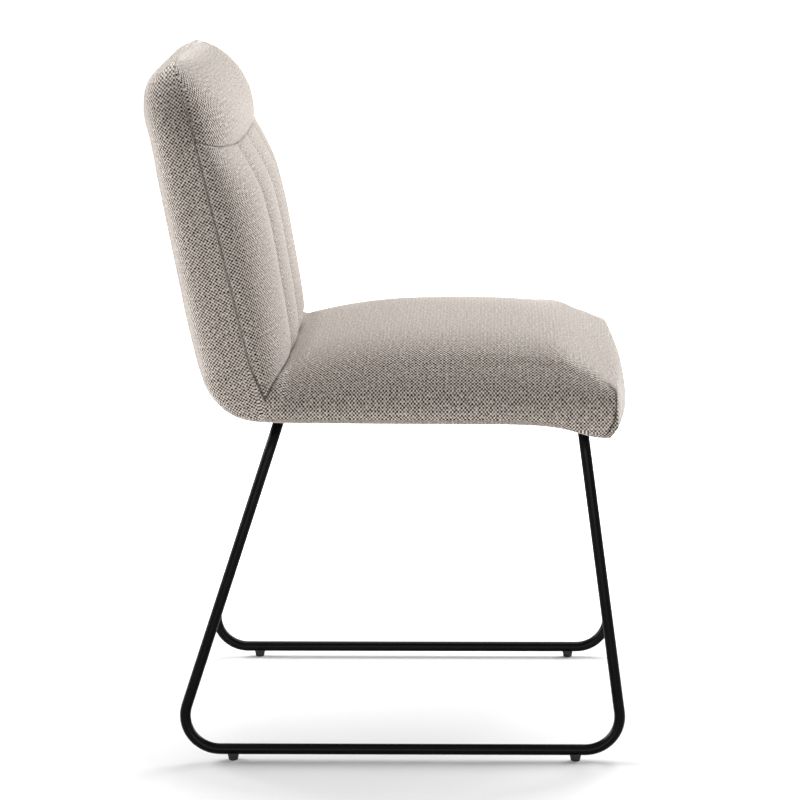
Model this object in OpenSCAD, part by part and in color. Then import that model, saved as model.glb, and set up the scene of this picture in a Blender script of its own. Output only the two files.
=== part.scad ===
// Upholstered dining chair: padded seat and back on two sled loops of round bar.
// Millimetres. +Z is up, the chair faces -Y, and the floor is z = 0.
// A point of the side view is [forward, up], where forward is along -Y.

/* [Sled base] */
// Diameter of the round bar that the loops are bent from
bar_d = 12.7; // [10:0.1:16]
// Spacing of the two loops, centre to centre
loop_spacing = 412; // [380:1:420]
// Length along the floor between the sharp corners of a loop
base_length = 525; // [490:1:560]
// Distance between the two crossbars under the seat
cross_spacing = 345; // [310:1:350]
// How far the middle of the crossbars lies ahead of the middle of the rails
base_shift = 39; // [20:1:50]
// Radius of the bends at the floor, at the centre of the bar
floor_bend_r = 40; // [30:1:55]
// Radius of the bends under the seat, at the centre of the bar
top_bend_r = 34; // [26:1:44]
// Thickness of the welded mounting tabs
tab_t = 3; // [2:0.5:5]
// Width of a mounting tab along its crossbar
tab_w = 40; // [28:1:60]
// How far a mounting tab reaches past the centre of its crossbar
tab_reach = 32; // [28:1:40]
// Spacing of the seat bolts across the chair
bolt_spacing = 240; // [200:1:260]

/* [Glides] */
// Gap that the glides leave between a rail and the floor
glide_h = 6.6; // [4:0.1:12]
// Diameter of a glide at the floor
glide_floor_d = 11; // [7:0.1:13]
// Diameter of a glide where it meets the rail
glide_top_d = 13.4; // [11:0.1:16]
// Diameter of the stem that is pushed into the rail
glide_stem_d = 5; // [3:0.1:7]
// Distance of a front glide behind the end of the front bend
front_glide_in = 11; // [8:1:60]
// Distance of a rear glide ahead of the end of the rear bend
rear_glide_in = 15; // [8:1:60]

/* [Seat] */
// Height of the crown of the seat above the floor
seat_height = 488.5; // [460:0.5:520]
// Thickness of the seat pad from its lower edge to its crown
seat_thick = 86; // [76:1:100]
// Width across the seat pad
seat_width = 474; // [456:1:500]
// Depth from the crevice at the back to the front of the nose
seat_depth = 390; // [376:1:420]
// How far the front roll hangs below the lower edge of the sides
nose_drop = 16; // [6:1:20]
// How far the nose swells ahead of the front corners
nose_crown = 15; // [8:1:24]
// How far the board lies above the lower edge of the pad
board_recess = 5; // [2:0.5:8]
// Thickness of the plywood seat board
board_t = 12; // [9:0.5:15]
// Width of the seat board
board_w = 404; // [380:1:408]
// Radius of the corners of the seat board
board_corner_r = 30; // [15:1:60]

/* [Back] */
// Height of the top of the back above the floor
back_height = 807; // [780:1:880]
// Lean of the back from upright
back_rake = 12.5; // [8:0.1:17]
// Width across the back pads
back_width = 456; // [430:1:480]
// Thickness of the rear pad, from the side seam to the outside
rear_pad_t = 61; // [48:1:75]
// Thickness of the channelled pad at its fullest, from the side seam
front_pad_t = 55; // [44:1:70]
// Thickness of the head bolster at its fullest, from the side seam
bolster_t = 42.5; // [36:0.5:60]
// Height of the head bolster at the sides, from its cross seam to the top
bolster_h = 83; // [70:1:100]
// How far the cross seam falls from the sides to the front
seam_fall = 26; // [10:1:34]
// Radius of the upper corners of the back, seen from the front
back_corner_r = 105; // [50:1:130]
// How far the top of the back rolls rearwards
head_roll = 14; // [0:1:20]
// Spacing of the upright seams across the inner back
channel_pitch = 100; // [80:1:105]
// Depth of the upright seams below the channels
channel_depth = 5; // [2:0.5:8]

/* [Back frame] */
// Diameter of the steel tube of the hoop inside the back
hoop_d = 16; // [12:0.5:18]
// Width of the hoop between the centres of its sides
hoop_w = 340; // [310:1:350]
// Distance of the top of the hoop below the top of the back
hoop_drop = 42; // [36:1:60]
// Radius of the bend between the seat run and the back
hoop_bend_r = 60; // [50:1:70]
// Radius of the upper bends of the hoop
hoop_corner_r = 50; // [40:1:70]
// Length of the hoop's run on the seat board
hoop_seat_run = 150; // [120:1:180]
// Distance of a saddle from each end of the hoop's run on the board
saddle_in = 30; // [20:1:50]
// Width of a saddle along the tube
saddle_w = 16; // [12:1:24]
// Reach of a saddle's ears beyond the sides of the tube
saddle_ear = 13; // [11:0.5:18]
// Diameter of the head of a saddle screw
screw_head_d = 8; // [6:0.5:9]
// Gap between one webbing band and the next
band_gap = 5; // [2:0.5:20]
// Thickness of one webbing band
band_t = 1.6; // [1:0.1:2]

/* [Hidden] */
$fn = 32;

// Heights
bar_r = bar_d / 2;
rail_z = glide_h + bar_r;
pad_z = seat_height - seat_thick;
under_z = pad_z + board_recess;
cover_t = 0.6;
board_z = under_z + cover_t;
board_top = board_z + board_t;
cross_z = under_z - bar_r;

// The side seam starts at the seat and rises along the rake of the back
along = [-sin(back_rake), cos(back_rake)];
ahead = [cos(back_rake), sin(back_rake)];
foot_z = pad_z + 0.38 * seat_thick;
rise = (back_height - foot_z) / along[1];
cross_seam = rise - bolster_h;

// How a pad closes towards the top of the back, and how far the top rolls back
function closing(r, span, sharp = 2) =
    sqrt(max(0.002, 1 - pow(max(0, r - rise + span) / span, sharp)));
function rolled(r) = head_roll * pow(max(0, r - rise + 80) / 80, 1.5);
function shell_t(r) = rear_pad_t * closing(r, 66, 2.3) * (1.07 - 0.14 * r / rise);

// The origin lies midway between the nose and the rearmost point of the back
crevice_in = 11;
foot_in = 32.5;
rear_in = base_shift - cross_spacing / 2;
back_reach = max([
    for (r = [rise - 120 : 5 : rise]) r * sin(back_rake) + (shell_t(r) + rolled(r)) * cos(back_rake)
]);
mid = (back_reach + foot_in - seat_depth) / 2 - rear_in - crevice_in;

// Places along the side view, forward of the origin
half_base = base_length / 2;
rear_cross = mid + rear_in;
front_cross = rear_cross + cross_spacing;
rear_lean = atan((half_base + rear_in) / (cross_z - rail_z));
front_lean = atan((half_base - rear_in - cross_spacing) / (cross_z - rail_z));
rear_bend_end = mid - half_base + floor_bend_r * tan((90 + rear_lean) / 2);
front_bend_end = mid + half_base - floor_bend_r * tan((90 + front_lean) / 2);
crevice = rear_cross + crevice_in;
nose = crevice + seat_depth;
board_rear = rear_cross + 6;
board_front = front_cross + 4;
foot = [crevice - foot_in, foot_z];

// Small hardware and clearances
bolt_d = 6;
bolt_len = 16;
washer_t = 1.2;
barrel_d = 8;
flange_d = 19;
flange_t = 1.4;
screw_d = 4;
saddle_t = 1.5;
play = 0.3;
bolt_in = tab_reach - 12;

// The hoop runs on the board, bends up and follows the seam
hoop_r = hoop_d / 2;
run_z = board_top + hoop_r;
hoop_n = -4;
hoop_top = rise - hoop_drop;
hoop_foot = foot + ahead * hoop_n + along * (run_z - foot[1] - ahead[1] * hoop_n) / along[1];
bend_back = hoop_bend_r * tan((90 - back_rake) / 2);
void_n0 = hoop_n - hoop_r - play;
void_n1 = hoop_n + hoop_r + band_t + play;
rail_rise = 0.2066 * hoop_top;
band_low = 0.348 * hoop_top;
band_step = (hoop_top - hoop_corner_r - 20 - band_low) / 3;
band_w = band_step - band_gap;

// A point of the back, at a rise up the seam and a distance ahead of it
function on_back(r, n) = foot + along * r + ahead * (n - rolled(r));

// How full a pad is across its width: 1 in the middle and 0 at its edge
function fullness(x, half, square, flat) =
    pow(max(0, 1 - pow(abs(x) / half, square)), 1 / flat);

// Half the width of the back at a rise, with its rounded upper corners
function back_half(r) = back_width / 2 - back_corner_r *
    (1 - sqrt(max(0, 1 - pow(max(0, r - rise + back_corner_r) / back_corner_r, 2))));

// Rows of numbers blended smoothly, with extra rows between the given ones
function blend(a, b, c, d, t) = 0.5 * (2 * b + (c - a) * t
    + (2 * a - 5 * b + 4 * c - d) * t * t + (3 * b - a - 3 * c + d) * t * t * t);
function smoothed(rows, extra) = let (last = len(rows) - 1) [
    for (i = [0 : last - 1], k = [0 : extra])
        blend(rows[max(0, i - 1)], rows[i], rows[i + 1], rows[min(last, i + 2)],
            k / (extra + 1)),
    rows[last]
];

// Positions across one half of a pad, from its edge inwards, as [x, fullness]
turns = [0, 9, 20, 32, 44, 54];
function edge_part(half, square, flat, pinch) = [
    for (t = turns) let (f = pow(sin(t), 2 / flat))
        [(half - pinch * pow(1 - f, 8)) * pow(cos(t), 2 / square), f]
];

// A section across a pad: from the seam point a, full towards b, and towards c
// below. The edges fall back by the bow. Each point is [x, forward, up].
function section(a, b, c, half, square, flat, inner, pinch = 4, dents = 0, bow = 0) =
    let (
        side = edge_part(half, square, flat, pinch),
        low = edge_part(half, 8, 2, pinch),
        top = [
            for (p = side) p,
            for (x = inner) [x, fullness(x, half, square, flat)]
        ],
        full = [
            for (q = top) [-q[0], q[1]],
            for (i = [len(top) - 1 : -1 : 0]) if (top[i][0] > 0.01) top[i]
        ],
        reach = norm(b - a)
    ) [
        for (p = full)
            let (q = a + (b - a) * (p[1] - groove(p[0], dents) / reach))
            [p[0], q[0] - bow * pow(abs(p[0]) / half, 2.5), q[1]],
        if (c != a) each let (under = [
            for (i = [1 : len(low) - 1]) low[i],
            for (i = [len(low) - 1 : -1 : 1]) [-low[i][0], low[i][1]]
        ]) [
            for (p = under) let (q = a + (c - a) * p[1])
                [p[0], q[0] - bow * pow(abs(p[0]) / half, 2.5), q[1]]
        ]
    ];

// Depth of the upright seams at a place across the inner back
function groove(x, depth) = abs(x) > 1.5 * channel_pitch ? 0
    : depth * (1 - pow(abs(sin(180 * x / channel_pitch)), 0.6));

function reversed(rows) = [for (i = [len(rows) - 1 : -1 : 0]) rows[i]];

// A closed pad through a list of sections, with a fan at each end
module pad(rings) {
    n = len(rings[0]);
    m = len(rings);
    all = [for (ring = rings, p = ring) [p[0], -p[1], p[2]]];
    middle = [for (k = [0, m - 1]) let (s = [for (p = rings[k]) p])
        [0, -(s[0][1] + s[floor(n / 3)][1]) / 2, (s[0][2] + s[floor(n / 3)][2]) / 2]];
    polyhedron(
        points = concat(all, middle),
        faces = concat(
            [for (k = [0 : m - 2], i = [0 : n - 1])
                [k * n + i, k * n + (i + 1) % n, (k + 1) * n + (i + 1) % n]],
            [for (k = [0 : m - 2], i = [0 : n - 1])
                [k * n + i, (k + 1) * n + (i + 1) % n, (k + 1) * n + i]],
            [for (i = [0 : n - 1]) [m * n, (i + 1) % n, i]],
            [for (i = [0 : n - 1])
                [m * n + 1, (m - 1) * n + i, (m - 1) * n + (i + 1) % n]]
        )
    );
}

// Puts its children at a rise up the back, with +Z along the seam
module up_back(r) {
    q = on_back(r, 0);
    translate([0, -q[0], q[1]]) rotate([-back_rake, 0, 0]) children();
}

// Bent bar, made as a bender makes it: straight runs and turns, end to end.
// A bar draws a hair thinner where it is bent.
draw = 0.04;
module run(len, d) {
    translate([0, 0, -draw]) cylinder(h = len + 2 * draw, d = d);
    translate([0, 0, len]) children();
}
module turn(angle, radius, d) {
    translate([radius, 0, 0]) rotate([90, 0, 180])
        rotate_extrude(angle = angle) translate([radius, 0]) circle(d = d - draw);
    translate([radius * (1 - cos(angle)), 0, radius * sin(angle)])
        rotate([0, angle, 0]) children();
}

// Places of the four bolts, and of the four glides
module at_bolts() {
    for (x = [-1, 1]) {
        translate([x * bolt_spacing / 2, -rear_cross - bolt_in, 0]) children();
        translate([x * bolt_spacing / 2, -front_cross + bolt_in, 0]) children();
    }
}
module at_stems() {
    translate([0, -rear_bend_end - rear_glide_in, 0]) children();
    translate([0, -front_bend_end + front_glide_in, 0]) children();
}

// Sled loops: one bar each, with both legs turned inwards under the seat
module sled() {
    rear_leg = (cross_z - rail_z) / cos(rear_lean) - top_bend_r
        - floor_bend_r * tan((90 + rear_lean) / 2);
    front_leg = (cross_z - rail_z) / cos(front_lean) - top_bend_r
        - floor_bend_r * tan((90 + front_lean) / 2);
    difference() {
        translate([loop_spacing / 2 - top_bend_r, -rear_cross, cross_z])
            rotate([rear_lean, 0, 0]) rotate([0, 90, 0])
            turn(90, top_bend_r, bar_d) rotate([0, 0, -90])
            run(rear_leg, bar_d)
            turn(90 + rear_lean, floor_bend_r, bar_d)
            run(front_bend_end - rear_bend_end, bar_d)
            turn(90 + front_lean, floor_bend_r, bar_d)
            run(front_leg, bar_d) rotate([0, 0, 90])
            turn(90, top_bend_r, bar_d);
        translate([loop_spacing / 2, 0, 0]) at_stems()
            translate([0, 0, rail_z - bar_r - 1]) cylinder(h = 8.3, d = glide_stem_d);
    }
}
module left_sled() {
    color("#26282a") sled();
}
module right_sled() {
    color("#26282a") mirror([1, 0, 0]) sled();
}

// Crossbars, welded between the inward ends of the legs
module crossbar(at) {
    translate([0, -at, cross_z]) rotate([0, 90, 0])
        cylinder(h = loop_spacing - 2 * top_bend_r, d = bar_d, center = true);
}
module front_crossbar() {
    color("#303234") crossbar(front_cross);
}
module rear_crossbar() {
    color("#303234") crossbar(rear_cross);
}

// Mounting tabs: plates coped to the bar, flush with its top, one bolt hole each
module tabs(at, way) {
    difference() {
        for (x = [-1, 1]) translate([x * bolt_spacing / 2, -at, under_z - tab_t])
            difference() {
                translate([-tab_w / 2, way > 0 ? -tab_reach : 0, 0])
                    cube([tab_w, tab_reach, tab_t]);
                translate([0, -way * bolt_in, -1])
                    cylinder(h = tab_t + 2, d = bolt_d + 0.6);
            }
        translate([0, -at, cross_z]) rotate([0, 90, 0])
            cylinder(h = loop_spacing, d = bar_d, center = true);
    }
}
module front_tabs() {
    color("#3a3c3e") tabs(front_cross, -1);
}
module rear_tabs() {
    color("#3a3c3e") tabs(rear_cross, 1);
}

// Glides: a tapered foot that cups the rail, with a stem up into it
module glide(side, at) {
    color("#151515") translate([side * loop_spacing / 2, -at, 0]) {
        difference() {
            rotate_extrude() polygon([
                [0, 0], [glide_floor_d / 2 - 1, 0], [glide_floor_d / 2 - 0.3, 0.3],
                [glide_floor_d / 2, 1], [glide_top_d / 2, glide_h + 0.6],
                [glide_top_d / 2, glide_h + 2], [0, glide_h + 2]
            ]);
            translate([0, 0, rail_z]) rotate([90, 0, 0])
                cylinder(h = 40, d = bar_d, center = true);
        }
        translate([0, 0, glide_h - 1]) cylinder(h = 8, d = glide_stem_d - 0.04);
    }
}
module right_front_glide() {
    glide(-1, front_bend_end - front_glide_in);
}
module left_front_glide() {
    glide(1, front_bend_end - front_glide_in);
}
module right_rear_glide() {
    glide(-1, rear_bend_end + rear_glide_in);
}
module left_rear_glide() {
    glide(1, rear_bend_end + rear_glide_in);
}

// Seat bolts: low round heads under the tabs, shanks up into the T-nuts
module seat_bolts() {
    color("#8d9196") at_bolts() translate([0, 0, under_z - tab_t - washer_t]) {
        cylinder(h = bolt_len, d = bolt_d);
        translate([0, 0, -3.3]) difference() {
            cylinder(h = 3.3, d1 = 7, d2 = 10.5);
            translate([0, 0, -1]) cylinder(h = 3, d = 4.4, $fn = 6);
        }
    }
}
module bolt_washers() {
    color("#9da1a6") at_bolts() translate([0, 0, under_z - tab_t - washer_t])
        difference() {
            cylinder(h = washer_t, d = 14);
            translate([0, 0, -1]) cylinder(h = washer_t + 2, d = bolt_d + 0.4);
        }
}
module t_nuts() {
    color("#b0b3b8") at_bolts() difference() {
        union() {
            translate([0, 0, board_top]) cylinder(h = flange_t, d = flange_d);
            translate([0, 0, board_top - 9]) cylinder(h = 9, d = barrel_d);
        }
        translate([0, 0, board_top - 10]) cylinder(h = 12, d = bolt_d + 0.1);
    }
}

// Seat board: plywood with round corners and a hole for each T-nut
module board_shape(grow = 0) {
    r = board_corner_r;
    for (x = [-1, 1], y = [board_rear + r, board_front - r])
        translate([x * (board_w / 2 - r), -y]) circle(r = r + grow);
    translate([-board_w / 2 + r, -board_front - grow])
        square([board_w - 2 * r, board_front - board_rear + 2 * grow]);
    translate([-board_w / 2 - grow, -board_front + r])
        square([board_w + 2 * grow, board_front - board_rear - 2 * r]);
}
module seat_board() {
    color("#c9a26b") difference() {
        translate([0, 0, board_z]) linear_extrude(board_t) board_shape();
        at_bolts() translate([0, 0, board_z - 1]) cylinder(h = board_t + 2, d = barrel_d + 0.1);
    }
}

// Dust cover under the board, and the staples along its edge
module dust_cover() {
    color("#1d1d1f") difference() {
        translate([0, 0, under_z]) linear_extrude(cover_t) board_shape(-3);
        at_bolts() translate([0, 0, under_z - 1]) cylinder(h = 3, d = bolt_d + 2);
    }
}
module staple() {
    translate([-5, -0.5, -0.6]) cube([10, 1, 0.6]);
}
module cover_staples() {
    inset = 9;
    long = board_front - board_rear - 2 * board_corner_r;
    between = (bolt_spacing / 2 - tab_w / 2 - 8) / 2;
    outside = bolt_spacing / 2 + tab_w / 2 + 12;
    color("#c4c6c8") translate([0, -(board_rear + board_front) / 2, under_z]) {
        for (side = [-1, 1], k = [-3 : 3])
            translate([side * (board_w / 2 - inset), k * long / 6.6, 0])
                rotate([0, 0, 90]) staple();
        for (x = concat([for (k = [-2 : 2]) k * between], [-outside, outside]), y = [-1, 1])
            translate([x, y * ((board_front - board_rear) / 2 - 24), 0]) staple();
    }
}

// Back hoop: a run on the board at each side, up the back and over at the top
module hoop_half(d) {
    top_run = hoop_top - hoop_corner_r
        - (bend_back + (run_z - foot[1] - ahead[1] * hoop_n) / along[1]);
    translate([hoop_w / 2, -hoop_foot[0] - bend_back - hoop_seat_run, run_z])
        rotate([-90, 0, 0]) rotate([0, 0, -90])
        run(hoop_seat_run, d)
        turn(90 - back_rake, hoop_bend_r, d)
        run(top_run, d) rotate([0, 0, -90])
        turn(90, hoop_corner_r, d)
        run(hoop_w / 2 - hoop_corner_r, d);
}
module back_hoop() {
    color("#5b6067") {
        hoop_half(hoop_d);
        mirror([1, 0, 0]) hoop_half(hoop_d);
    }
}
module hoop_rail() {
    color("#5b6067") difference() {
        up_back(rail_rise) translate([0, -hoop_n, 0]) rotate([0, 90, 0])
            cylinder(h = hoop_w, d = hoop_d - 2, center = true);
        for (x = [-1, 1]) up_back(rail_rise) translate([x * hoop_w / 2, -hoop_n, -50])
            cylinder(h = 100, d = hoop_d);
    }
}

// Saddles that clamp the hoop's runs to the board, with two screws each
screw_out = hoop_r + saddle_ear / 2 + 1;
module at_saddles() {
    for (x = [-1, 1], y = [saddle_in, hoop_seat_run - saddle_in])
        translate([x * hoop_w / 2, -hoop_foot[0] - bend_back - y, board_top]) children();
}
module tube_saddles() {
    color("#9da1a6") at_saddles() difference() {
        rotate([90, 0, 0]) linear_extrude(saddle_w, center = true) difference() {
            union() {
                translate([0, hoop_r]) circle(d = hoop_d + 2 * saddle_t);
                translate([-hoop_r - saddle_t, 0])
                    square([hoop_d + 2 * saddle_t, hoop_r]);
                translate([-hoop_r - saddle_ear, 0])
                    square([hoop_d + 2 * saddle_ear, saddle_t]);
            }
            translate([0, hoop_r]) circle(d = hoop_d);
            translate([-hoop_r, -1]) square([hoop_d, hoop_r + 1]);
            translate([-hoop_r - 2 * saddle_ear, -5])
                square([hoop_d + 4 * saddle_ear, 5]);
        }
        for (x = [-1, 1]) translate([x * screw_out, 0, -1])
            cylinder(h = saddle_t + 2, d = screw_d + 0.4);
    }
}
module saddle_screws() {
    color("#c2b280") at_saddles() for (x = [-1, 1])
        translate([x * screw_out, 0, 0]) {
            translate([0, 0, saddle_t])
                cylinder(h = screw_head_d / 4, d1 = screw_head_d, d2 = 0.69 * screw_head_d);
            cylinder(h = saddle_t, d = screw_d);
        }
}

// Webbing: elastic bands across the front of the hoop
module band(k) {
    color("#2f3338") up_back(band_low + k * band_step)
        translate([-hoop_w / 2 - hoop_r, -hoop_n - hoop_r - band_t, -band_w / 2])
        cube([hoop_w + hoop_d, band_t, band_w]);
}
module webbing_1() {
    band(0);
}
module webbing_2() {
    band(1);
}
module webbing_3() {
    band(2);
}
module webbing_4() {
    band(3);
}

// Room that the hoop and its bands take inside the pads of the back
bend_start = hoop_foot[0] + bend_back;
function bend_point(r, t) = [bend_start - r * sin(t), run_z + hoop_bend_r - r * cos(t)];
module hoop_room() {
    half = hoop_r + 1;
    up_back(52) translate([-hoop_w / 2 - half, -void_n1, 0])
        cube([hoop_w + 2 * half, void_n1 - void_n0, hoop_top + half - 52]);
    steps = [for (k = [0 : 5]) (90 - back_rake) * k / 5];
    for (side = [-1, 1]) translate([side * hoop_w / 2, 0, 0])
        rotate([90, 0, -90]) linear_extrude(2 * half + 0.8, center = true) polygon(concat(
            [[bend_start + 12, run_z + half]],
            [[bend_start + 12, run_z - half]],
            [for (t = steps) bend_point(hoop_bend_r + half, t)],
            [bend_point(hoop_bend_r + half, 90 - back_rake) + along * 20],
            [bend_point(hoop_bend_r - half, 90 - back_rake) + along * 20],
            [for (t = reversed(steps)) bend_point(hoop_bend_r - half - 1, t)]
        ));
}

// Seat cushion: crowned pad with a front roll that hangs below its sides.
// Rear rows run from the crevice, front rows back from the nose. Each row is
// [underside forward, share of the drop, top forward, share of the thickness],
// set out on a pad 86 thick, and they grow with the thickness.
swell = seat_thick / 86;
roll = 150 * swell;
rear_rows = [
    [-21, 0, -27, 0.42], [-19, 0, -18, 0.515], [-15, 0, -9, 0.61], [-9, 0, 0, 0.7],
    [2, 0, 11, 0.765], [20, 0, 28, 0.82], [46, 0, 52, 0.885], [84, 0, 88, 0.95],
    [128, 0, 130, 0.99]
];
front_rows = [
    [-196, 0, -196, 1], [-142, 0.02, -146, 0.985], [-104, 0.12, -110, 0.95],
    [-78, 0.34, -78, 0.9], [-56, 0.72, -53, 0.84], [-41, 0.95, -34, 0.773],
    [-29, 1, -20, 0.68], [-20, 0.94, -11, 0.54], [-12, 0.76, -4.5, 0.37],
    [-7, 0.48, -1.5, 0.21], [-3, 0.1, -0.3, 0.1]
];
seat_rows = smoothed([
    for (r = rear_rows)
        [crevice + swell * r[0], pad_z, crevice + swell * r[2], pad_z + seat_thick * r[3]],
    for (r = front_rows)
        [nose + swell * r[0], pad_z - nose_drop * r[1], nose + swell * r[2],
            pad_z + seat_thick * r[3]]
], 1);
function seat_half(y) = seat_width / 2
    * (1 - 0.03 * pow(max(0, (nose - roll - y) / (nose - roll - crevice)), 2));
function seat_section(r) =
    let (
        c = [r[0], r[1]],
        b = [r[2], r[3]],
        a = c + (b - c) * min(8 / norm(b - c), 0.35),
        half = seat_half(r[2])
    )
    section(a, b, c, half, 4, 2, [for (k = [4, 2, 0]) half * k / 7.5],
        bow = nose_crown * min(1, max(0, (r[2] - nose + roll) / (roll - 20 * swell))));
module seat_cushion() {
    recess = max(board_w / 2 + 1, loop_spacing / 2 + bar_r + 0.65);
    color("#cfc6bc") difference() {
        pad([for (r = seat_rows) seat_section(r)]);
        translate([-recess, -front_cross - bar_r - 4, pad_z - 30])
            cube([2 * recess, cross_spacing + bar_d + 6, 30 + board_recess + cover_t]);
        translate([0, 0, board_z - 1]) linear_extrude(board_t + 1) board_shape(play);
        at_bolts() translate([0, 0, board_top - 1])
            cylinder(h = flange_t + 1 + play, d = flange_d + 1);
        for (side = [-1, 1])
            translate([side * hoop_w / 2 - 26, -hoop_foot[0] - bend_back - hoop_seat_run - 1,
                board_top - 1])
                cube([52, hoop_seat_run + 60, hoop_d + saddle_t + 2]);
        hoop_room();
    }
}

// Back shell: the rear pad, which rounds under at its foot to meet the seat
shell_top = [for (d = [0.6, 3, 7, 13, 21, 31, 43, 58, 85, 120, 160, 200, 240, 285])
    let (r = rise - d) [
        on_back(r, 0),
        on_back(r, -shell_t(r)),
        back_half(r)
    ]];
heel = on_back(30, -rear_pad_t * 1.06);
under = [crevice - 42, pad_z];
corner = [heel[0] + tan(back_rake) * (heel[1] - pad_z), pad_z];
shell_foot = [for (k = [0 : 7]) let (t = k / 7) [
    on_back(30 * (1 - t), 0),
    heel * pow(1 - t, 2) + corner * 2 * t * (1 - t) + under * t * t,
    back_width / 2
]];
module back_shell() {
    rows = concat(shell_top, shell_foot, [[
        foot + ([crevice - 21, pad_z] - foot) * 0.2, [crevice - 21, pad_z], back_width / 2
    ]]);
    color("#c6bcb1") difference() {
        pad([for (r = reversed(rows))
            section(r[0], r[1], r[0], r[2], 10, 4, [for (k = [4, 2, 0]) r[2] * k / 5.6])]);
        hoop_room();
    }
}

// Inner back: crowned pad with upright channels, from the crevice to the bolster.
// Each row is [seam rise, front rise, fullness], rises as shares of the cross seam.
fall = seam_fall / cross_seam;
inner_rows = smoothed([
    [0, 0.058, 0.58], [0.03, 0.08, 0.71], [0.075, 0.113, 0.8], [0.15, 0.165, 0.85],
    [0.265, 0.265, 0.9], [0.4, 0.4, 0.945], [0.53, 0.53, 0.985],
    [0.64, 0.64 - 0.1 * fall, 0.99], [0.74, 0.74 - 0.25 * fall, 0.97],
    [0.83, 0.83 - 0.45 * fall, 0.885], [0.905, 0.905 - 0.67 * fall, 0.79],
    [0.96, 0.96 - 0.85 * fall, 0.71], [1, 1 - fall, 0.67]
], 1);
module inner_back() {
    quarter = channel_pitch / 4;
    color("#d3cac0") difference() {
        pad([for (r = reversed(inner_rows))
            section(
                on_back(cross_seam * r[0], 0),
                on_back(cross_seam * r[1], front_pad_t * r[2]),
                on_back(cross_seam * r[0], 0),
                back_width / 2, 3, 2,
                [for (k = [5 : -1 : 0]) quarter * k], 4, channel_depth
            )]);
        hoop_room();
    }
}

// Head bolster: the fuller pad between the cross seam and the top of the back
module head_bolster() {
    rises = [
        for (d = [0, 3, 8, 15, 25]) cross_seam + d,
        for (d = [48, 39, 31, 24, 18, 12, 8, 4, 1.6, 0.6]) rise - d
    ];
    color("#d8d0c6") difference() {
        pad([for (r = reversed(rises)) let (
                half = back_half(r),
                down = seam_fall * max(0, 1 - (r - cross_seam) / 60),
                t = bolster_t * closing(r - down, 70) * (1 - 0.17 * exp((cross_seam - r) / 7))
            )
            section(on_back(r, 0), on_back(r - down, t), on_back(r, 0), half, 3, 2,
                [for (k = [4, 2, 0]) half * k / 7.5])]);
        hoop_room();
    }
}

right_sled();
left_sled();
front_crossbar();
rear_crossbar();
front_tabs();
rear_tabs();
right_front_glide();
left_front_glide();
right_rear_glide();
left_rear_glide();
seat_bolts();
bolt_washers();
t_nuts();
dust_cover();
cover_staples();
seat_board();
seat_cushion();
back_hoop();
hoop_rail();
tube_saddles();
saddle_screws();
webbing_1();
webbing_2();
webbing_3();
webbing_4();
back_shell();
inner_back();
head_bolster();
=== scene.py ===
import math

import bmesh
import bpy
import numpy as np
from mathutils import Matrix, Vector
from mathutils.bvhtree import BVHTree


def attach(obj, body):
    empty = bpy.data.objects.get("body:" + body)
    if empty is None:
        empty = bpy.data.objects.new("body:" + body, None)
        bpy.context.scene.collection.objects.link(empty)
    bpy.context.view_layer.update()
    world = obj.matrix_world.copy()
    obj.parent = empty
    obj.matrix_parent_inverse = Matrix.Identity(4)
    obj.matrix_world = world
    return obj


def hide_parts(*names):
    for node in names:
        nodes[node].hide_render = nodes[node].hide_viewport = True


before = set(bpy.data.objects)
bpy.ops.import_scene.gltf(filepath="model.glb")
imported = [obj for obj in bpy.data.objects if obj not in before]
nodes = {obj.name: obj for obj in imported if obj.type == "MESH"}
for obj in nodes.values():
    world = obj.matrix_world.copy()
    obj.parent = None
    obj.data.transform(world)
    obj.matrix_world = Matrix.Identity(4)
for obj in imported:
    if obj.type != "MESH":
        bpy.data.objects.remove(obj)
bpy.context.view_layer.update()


# Sled loops and crossbars: half-inch round bar, bent cold and MIG-welded, then
# powder coated as one weldment. The mounting tabs are laser-cut 3 mm plate.


def srgb(code):
    """A colour written as sRGB hex, turned linear for a shader."""
    parts = [int(code[i:i + 2], 16) / 255 for i in (1, 3, 5)]
    return tuple(
        c / 12.92 if c <= 0.04045 else ((c + 0.055) / 1.055) ** 2.4 for c in parts
    ) + (1.0,)


def new_finish(name):
    """A new material, and its node tree without any node."""
    mat = bpy.data.materials.new(name)
    mat.use_nodes = True
    mat.node_tree.nodes.clear()
    return mat, mat.node_tree


def add(tree, kind, links=None, inputs=None, stops=(), **settings):
    """Adds a node: settings are its properties, inputs its values, links its sources.

    A source is a socket, or a node that stands for its own first output.
    stops are a colour ramp's places and sRGB hex colours.
    """
    node = tree.nodes.new("ShaderNode" + kind)
    for key, value in settings.items():
        setattr(node, key, value)
    for i, (place, code) in enumerate(stops):
        if i >= len(node.color_ramp.elements):
            node.color_ramp.elements.new(place)
        node.color_ramp.elements[i].position = place
        node.color_ramp.elements[i].color = srgb(code)
    for key, value in (inputs or {}).items():
        node.inputs[key].default_value = value
    for key, source in (links or {}).items():
        if isinstance(source, bpy.types.Node):
            source = source.outputs[0]
        tree.links.new(source, node.inputs[key])
    return node


def coat(mat, *names):
    """Gives CAD nodes their finish."""
    for name in names:
        nodes[name].data.materials.clear()
        nodes[name].data.materials.append(mat)


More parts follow.
